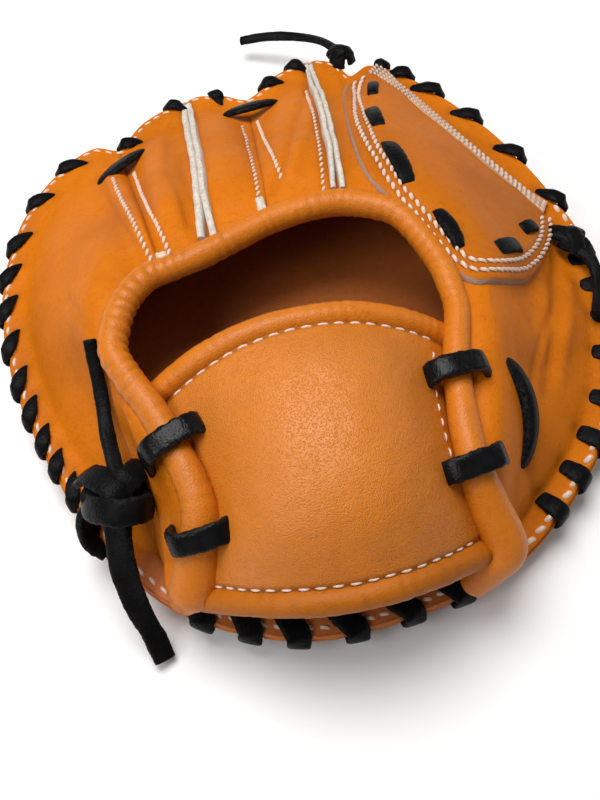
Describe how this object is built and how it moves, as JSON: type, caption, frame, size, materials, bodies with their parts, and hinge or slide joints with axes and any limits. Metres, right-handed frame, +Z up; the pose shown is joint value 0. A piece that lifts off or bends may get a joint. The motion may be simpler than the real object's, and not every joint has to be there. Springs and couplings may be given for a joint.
{
  "type": "infield training glove",
  "caption": "Round padded pancake fielding glove in tan leather with black lacing, a wide wrist strap and pale welts, lying palm down.",
  "frame": {"origin": "bottom centre of the glove without its free lace ends, on the surface it lies on", "axes": "+Z up from the palm to the back of the hand, +Y to the fingertips, +X to the thumb side"},
  "size_m": [0.2316, 0.2788, 0.0752],
  "materials": {
    "tan_leather": "waxed, slightly mottled grain",
    "binding_leather": "rolled edge, smooth",
    "lining_leather": "matt, darker",
    "lace_leather": "black, light gloss",
    "pale_leather": "raw pale edge"
  },
  "bodies": {
    "root": {"back_index": "tan_leather", "back_little": "tan_leather", "back_middle": "tan_leather", "back_ring_inner": "tan_leather", "back_ring_outer": "tan_leather", "back_thumb": "tan_leather", "finger_bar_a": "lace_leather", "finger_bar_c": "lace_leather", "heel_facing": "lining_leather", "heel_lace": "lace_leather", "knot_little": "lace_leather", "knot_thumb": "lace_leather", "knot_top": "lace_leather", "lace_tail_down": "lace_leather", "lace_tail_thumb": "lace_leather", "lace_tail_top": "lace_leather", "lace_tail_up": "lace_leather", "opening_binding": "binding_leather", "palm_lining": "lining_leather", "palm_shell": "tan_leather", "rim_lace_fingers": "lace_leather", "rim_lace_little": "lace_leather", "rim_lace_thumb": "lace_leather", "rim_lace_web": "lace_leather", "strap_binding_bottom": "binding_leather", "strap_binding_top": "binding_leather", "strap_loop_1": "lace_leather", "strap_loop_2": "lace_leather", "strap_loop_3": "lace_leather", "strap_loop_4": "lace_leather", "thumb_bar": "lace_leather", "web_bar_1": "lace_leather", "web_bar_2": "lace_leather", "web_bar_3": "lace_leather", "web_bar_4": "lace_leather", "web_bar_5": "lace_leather", "web_bar_6": "lace_leather", "web_edge_welt": "pale_leather", "web_patch": "tan_leather", "welt_index": "pale_leather", "welt_ring": "pale_leather", "wrist_strap": "tan_leather"}
  },
  "joints": []
}
